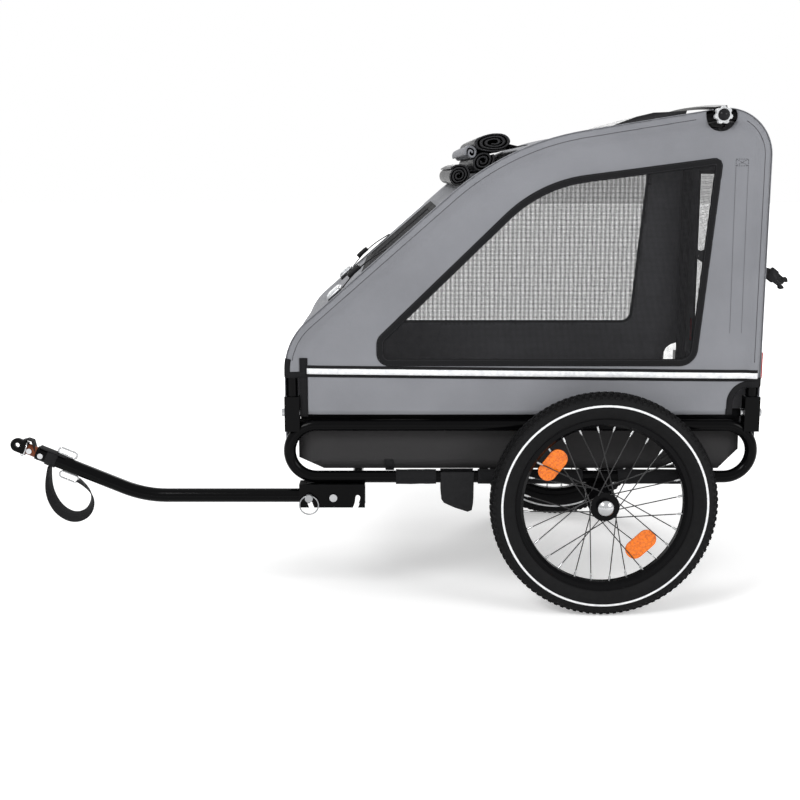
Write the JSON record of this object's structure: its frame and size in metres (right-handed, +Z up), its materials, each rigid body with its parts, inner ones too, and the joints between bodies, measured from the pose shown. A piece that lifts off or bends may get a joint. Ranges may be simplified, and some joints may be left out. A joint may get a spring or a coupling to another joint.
{
  "type": "dog bike trailer",
  "caption": "Dog bike trailer: folding tube frame, fabric cabin with mesh windows, spoked quick-release wheels and a folding side drawbar with a flexible hitch.",
  "frame": {"origin": "on the ground under the middle of the trailer's bounding box", "axes": "+X to the rear of the trailer, +Y to its right side, +Z up"},
  "size_m": [1.393, 0.7472, 0.9078],
  "materials": {
    "black_paint": "gloss",
    "steel": "satin",
    "chrome": "polished",
    "tyre": "matte",
    "inner_tube": "matte",
    "rim_black": "gloss",
    "spoke_black": "satin",
    "grey_fabric": "woven",
    "black_fabric": "woven",
    "mesh": "open mesh",
    "webbing": "webbing",
    "white_reflector": "prismatic",
    "orange_reflector": "prismatic",
    "red_reflector": "prismatic",
    "black_plastic": "satin",
    "knob_plastic": "satin",
    "urethane": "satin",
    "board": "matte"
  },
  "bodies": {
    "chassis": {"left_side_rail": "black_paint", "right_side_rail": "black_paint", "cross_tubes": "black_paint", "axle_brackets": "black_paint", "axle_pins": "steel", "hinge_brackets": "black_paint", "hinge_bolts": "chrome", "tub": "black_fabric", "floor_board": "board", "tub_sleeves": "black_fabric", "drawbar_bracket": "black_paint", "drawbar_pivot_bolt": "chrome", "storage_clip": "black_plastic"},
    "left_side": {"left_hoop": "black_paint", "left_side_panel": "grey_fabric", "left_window_mesh": "mesh", "left_front_panel": "grey_fabric", "left_rear_panel": "grey_fabric", "left_cover_roll": "black_fabric", "left_front_reflector": "white_reflector", "left_rear_reflector": "red_reflector", "left_rear_buckle": "black_plastic"},
    "right_side": {"right_hoop": "black_paint", "right_side_panel": "grey_fabric", "right_window_mesh": "mesh", "right_front_panel": "grey_fabric", "right_rear_panel": "grey_fabric", "right_cover_roll": "black_fabric", "right_front_reflector": "white_reflector", "right_rear_reflector": "red_reflector", "right_rear_buckle": "black_plastic"},
    "roof_bar": {"roof_bar": "black_paint"},
    "left_knob": {"left_star_knob": "knob_plastic"},
    "right_knob": {"right_star_knob": "knob_plastic"},
    "left_wheel": {"left_tyre": "tyre", "left_inner_tube": "inner_tube", "left_rim": "rim_black", "left_spokes": "spoke_black", "left_hub": "rim_black", "left_bearings": "steel", "left_spoke_reflectors": "orange_reflector"},
    "right_wheel": {"right_tyre": "tyre", "right_inner_tube": "inner_tube", "right_rim": "rim_black", "right_spokes": "spoke_black", "right_hub": "rim_black", "right_bearings": "steel", "right_spoke_reflectors": "orange_reflector"},
    "left_button": {"left_axle_button": "chrome"},
    "right_button": {"right_axle_button": "chrome"},
    "drawbar": {"drawbar_tube": "black_paint", "hitch_flex": "urethane", "hitch_tongue": "steel", "hitch_bolts": "chrome", "safety_ring": "chrome", "safety_strap": "webbing", "snap_hooks": "chrome"},
    "lock_pin": {"lock_pin": "steel"}
  },
  "joints": [
    {"name": "left_fold", "type": "hinge", "parent": "chassis", "child": "left_side", "pos_m": [0, -0.285, 0.36], "axis": [-1, 0, 0], "range_deg": [0, 95], "deforming": ["left_front_panel", "left_rear_panel", "left_cover_roll"]},
    {"name": "right_fold", "type": "hinge", "parent": "chassis", "child": "right_side", "pos_m": [0, 0.285, 0.36], "axis": [1, 0, 0], "range_deg": [0, 85], "deforming": ["right_front_panel", "right_rear_panel", "right_cover_roll"]},
    {"name": "roof_bar_lift", "type": "slide", "parent": "chassis", "child": "roof_bar", "axis": [0, 0, 1], "range_m": [0, 0.3]},
    {"name": "left_knob_turn", "type": "hinge", "parent": "roof_bar", "child": "left_knob", "pos_m": [0.5605, -0.3, 0.88144], "axis": [0, -1, 0], "continuous": true},
    {"name": "right_knob_turn", "type": "hinge", "parent": "roof_bar", "child": "right_knob", "pos_m": [0.5605, 0.3, 0.88144], "axis": [0, 1, 0], "continuous": true},
    {"name": "left_wheel_spin", "type": "hinge", "parent": "chassis", "child": "left_wheel", "pos_m": [0.3705, -0.335, 0.203], "axis": [0, 1, 0], "continuous": true},
    {"name": "right_wheel_spin", "type": "hinge", "parent": "chassis", "child": "right_wheel", "pos_m": [0.3705, 0.335, 0.203], "axis": [0, 1, 0], "continuous": true},
    {"name": "left_button_press", "type": "slide", "parent": "chassis", "child": "left_button", "axis": [0, 1, 0], "range_m": [0, 0.003], "stiffness_N_per_m": 800, "springref_m": -0.004},
    {"name": "right_button_press", "type": "slide", "parent": "chassis", "child": "right_button", "axis": [0, -1, 0], "range_m": [0, 0.003], "stiffness_N_per_m": 800, "springref_m": -0.004},
    {"name": "drawbar_fold", "type": "hinge", "parent": "chassis", "child": "drawbar", "pos_m": [-0.1125, -0.285, 0.206], "axis": [0, -1, 0], "range_deg": [0, 180], "deforming": ["safety_strap"]},
    {"name": "lock_pin_pull", "type": "slide", "parent": "drawbar", "child": "lock_pin", "axis": [0, -1, 0], "range_m": [0, 0.045]}
  ]
}
